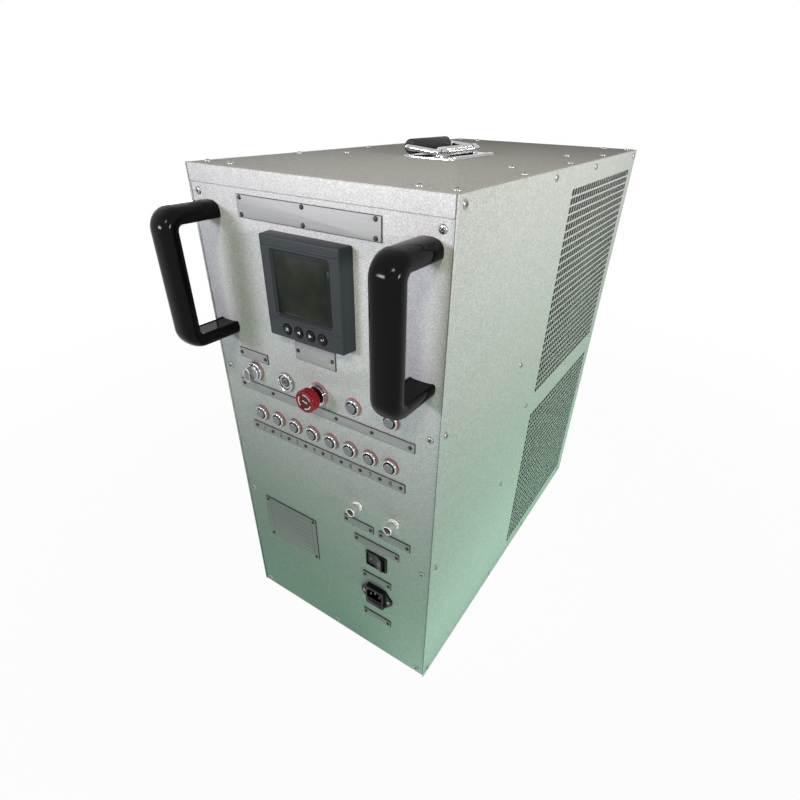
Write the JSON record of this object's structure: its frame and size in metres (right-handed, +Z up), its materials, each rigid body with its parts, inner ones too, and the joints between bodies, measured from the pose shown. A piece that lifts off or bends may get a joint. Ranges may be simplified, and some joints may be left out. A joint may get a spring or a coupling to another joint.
{
  "type": "generator load bank",
  "caption": "Upright portable resistor load bank: slim sheet-metal cabinet with pull handles, meter, push buttons, emergency stop, perforated sides and a folding lifting handle.",
  "frame": {"origin": "centre of the cabinet's underside, on the floor", "axes": "+X to the right seen from the front, +Y from the front to the back, +Z up"},
  "size_m": [0.32, 0.713, 0.6605],
  "materials": {
    "panel_paint": "fine textured powder coat",
    "inner_steel": "plain zinc-plated sheet",
    "plate_metal": "brushed plate",
    "handle_black": "gloss",
    "meter_plastic": "satin moulded",
    "meter_pane": "clear",
    "key_black": "matt",
    "bright_metal": "polished",
    "cap_metal": "polished",
    "seal_red": "matt",
    "black_plastic": "satin",
    "red_plastic": "gloss",
    "lens_dark": "clear",
    "grip_rubber": "matt",
    "element_metal": "plain finned metal",
    "block_plastic": "moulded",
    "stud_brass": "turned",
    "board_black": "moulded laminate"
  },
  "bodies": {
    "cabinet": {"base_tray": "panel_paint", "cabinet_frame": "inner_steel", "bulkhead": "inner_steel", "front_panel": "panel_paint", "rear_panel": "panel_paint", "side_panel_right": "panel_paint", "side_panel_left": "panel_paint", "top_cover": "panel_paint", "front_handle_left": "handle_black", "front_handle_right": "handle_black", "name_plate": "plate_metal", "data_plate": "plate_metal", "label_strips": "plate_metal", "meter_case": "meter_plastic", "meter_window": "meter_pane", "button_bezels": "bright_metal", "control_seals": "seal_red", "switch_blocks": "block_plastic", "selector_bezel": "bright_metal", "fault_lamp_bezel": "bright_metal", "fault_lamp_lens": "lens_dark", "estop_collar": "bright_metal", "socket_shells": "bright_metal", "socket_inserts": "black_plastic", "rocker_frame": "black_plastic", "inlet_housing": "black_plastic", "inlet_pins": "bright_metal", "lift_plate": "bright_metal", "lift_spring": "bright_metal", "fan_frames": "black_plastic", "resistor_rack": "inner_steel", "resistor_elements": "element_metal", "contactors": "block_plastic", "terminal_board": "board_black", "terminal_studs": "stud_brass"},
    "selector": {"selector_knob": "bright_metal"},
    "estop_plunger": {"estop_stem": "black_plastic"},
    "estop_mushroom": {"estop_head": "red_plastic"},
    "rocker": {"rocker_paddle": "black_plastic"},
    "fuse_carrier": {"fuse_drawer": "black_plastic"},
    "lift_handle": {"lift_bail": "bright_metal", "lift_grip": "grip_rubber"},
    "fan_lower": {"fan_rotor_lower": "black_plastic"},
    "fan_upper": {"fan_rotor_upper": "black_plastic"},
    "fan_button": {"fan_button_cap": "cap_metal"},
    "load_button": {"load_button_cap": "cap_metal"},
    "stage_button_1": {"stage_button_cap_1": "cap_metal"},
    "stage_button_2": {"stage_button_cap_2": "cap_metal"},
    "stage_button_3": {"stage_button_cap_3": "cap_metal"},
    "stage_button_4": {"stage_button_cap_4": "cap_metal"},
    "stage_button_5": {"stage_button_cap_5": "cap_metal"},
    "stage_button_6": {"stage_button_cap_6": "cap_metal"},
    "stage_button_7": {"stage_button_cap_7": "cap_metal"},
    "stage_button_8": {"stage_button_cap_8": "cap_metal"},
    "meter_key_1": {"meter_key_1": "key_black"},
    "meter_key_2": {"meter_key_2": "key_black"},
    "meter_key_3": {"meter_key_3": "key_black"},
    "meter_key_4": {"meter_key_4": "key_black"}
  },
  "joints": [
    {"name": "lift_handle_hinge", "type": "hinge", "parent": "cabinet", "child": "lift_handle", "pos_m": [0.01, -0.0245, 0.6488], "axis": [0, 1, 0], "range_deg": [0, 90], "stiffness_Nm_per_rad": 0.2, "deforming": ["lift_spring"]},
    {"name": "selector_turn", "type": "hinge", "parent": "cabinet", "child": "selector", "pos_m": [-0.1, -0.3005, 0.42], "axis": [0, 1, 0], "range_deg": [0, 90]},
    {"name": "estop_push", "type": "slide", "parent": "cabinet", "child": "estop_plunger", "axis": [0, 1, 0], "range_m": [0, 0.004]},
    {"name": "estop_twist", "type": "hinge", "parent": "estop_plunger", "child": "estop_mushroom", "pos_m": [0, -0.3185, 0.42], "axis": [0, 1, 0], "range_deg": [0, 35], "stiffness_Nm_per_rad": 0.1},
    {"name": "rocker_tip", "type": "hinge", "parent": "cabinet", "child": "rocker", "pos_m": [0.0785, -0.2945, 0.193], "axis": [0, 0, 1], "range_deg": [0, 22]},
    {"name": "fuse_carrier_slide", "type": "slide", "parent": "cabinet", "child": "fuse_carrier", "axis": [0, -1, 0], "range_m": [0, 0.016]},
    {"name": "fan_lower_spin", "type": "hinge", "parent": "cabinet", "child": "fan_lower", "pos_m": [-0.145, 0.131, 0.165], "axis": [1, 0, 0], "continuous": true},
    {"name": "fan_upper_spin", "type": "hinge", "parent": "cabinet", "child": "fan_upper", "pos_m": [-0.145, 0.131, 0.4785], "axis": [1, 0, 0], "continuous": true},
    {"name": "fan_button_press", "type": "slide", "parent": "cabinet", "child": "fan_button", "axis": [0, 1, 0], "range_m": [0, 0.0025], "stiffness_N_per_m": 400},
    {"name": "load_button_press", "type": "slide", "parent": "cabinet", "child": "load_button", "axis": [0, 1, 0], "range_m": [0, 0.0025], "stiffness_N_per_m": 400},
    {"name": "stage_button_1_press", "type": "slide", "parent": "cabinet", "child": "stage_button_1", "axis": [0, 1, 0], "range_m": [0, 0.0025], "stiffness_N_per_m": 400},
    {"name": "stage_button_2_press", "type": "slide", "parent": "cabinet", "child": "stage_button_2", "axis": [0, 1, 0], "range_m": [0, 0.0025], "stiffness_N_per_m": 400},
    {"name": "stage_button_3_press", "type": "slide", "parent": "cabinet", "child": "stage_button_3", "axis": [0, 1, 0], "range_m": [0, 0.0025], "stiffness_N_per_m": 400},
    {"name": "stage_button_4_press", "type": "slide", "parent": "cabinet", "child": "stage_button_4", "axis": [0, 1, 0], "range_m": [0, 0.0025], "stiffness_N_per_m": 400},
    {"name": "stage_button_5_press", "type": "slide", "parent": "cabinet", "child": "stage_button_5", "axis": [0, 1, 0], "range_m": [0, 0.0025], "stiffness_N_per_m": 400},
    {"name": "stage_button_6_press", "type": "slide", "parent": "cabinet", "child": "stage_button_6", "axis": [0, 1, 0], "range_m": [0, 0.0025], "stiffness_N_per_m": 400},
    {"name": "stage_button_7_press", "type": "slide", "parent": "cabinet", "child": "stage_button_7", "axis": [0, 1, 0], "range_m": [0, 0.0025], "stiffness_N_per_m": 400},
    {"name": "stage_button_8_press", "type": "slide", "parent": "cabinet", "child": "stage_button_8", "axis": [0, 1, 0], "range_m": [0, 0.0025], "stiffness_N_per_m": 400},
    {"name": "meter_key_1_press", "type": "slide", "parent": "cabinet", "child": "meter_key_1", "axis": [0, 1, 0], "range_m": [0, 0.0008], "stiffness_N_per_m": 500},
    {"name": "meter_key_2_press", "type": "slide", "parent": "cabinet", "child": "meter_key_2", "axis": [0, 1, 0], "range_m": [0, 0.0008], "stiffness_N_per_m": 500},
    {"name": "meter_key_3_press", "type": "slide", "parent": "cabinet", "child": "meter_key_3", "axis": [0, 1, 0], "range_m": [0, 0.0008], "stiffness_N_per_m": 500},
    {"name": "meter_key_4_press", "type": "slide", "parent": "cabinet", "child": "meter_key_4", "axis": [0, 1, 0], "range_m": [0, 0.0008], "stiffness_N_per_m": 500}
  ]
}
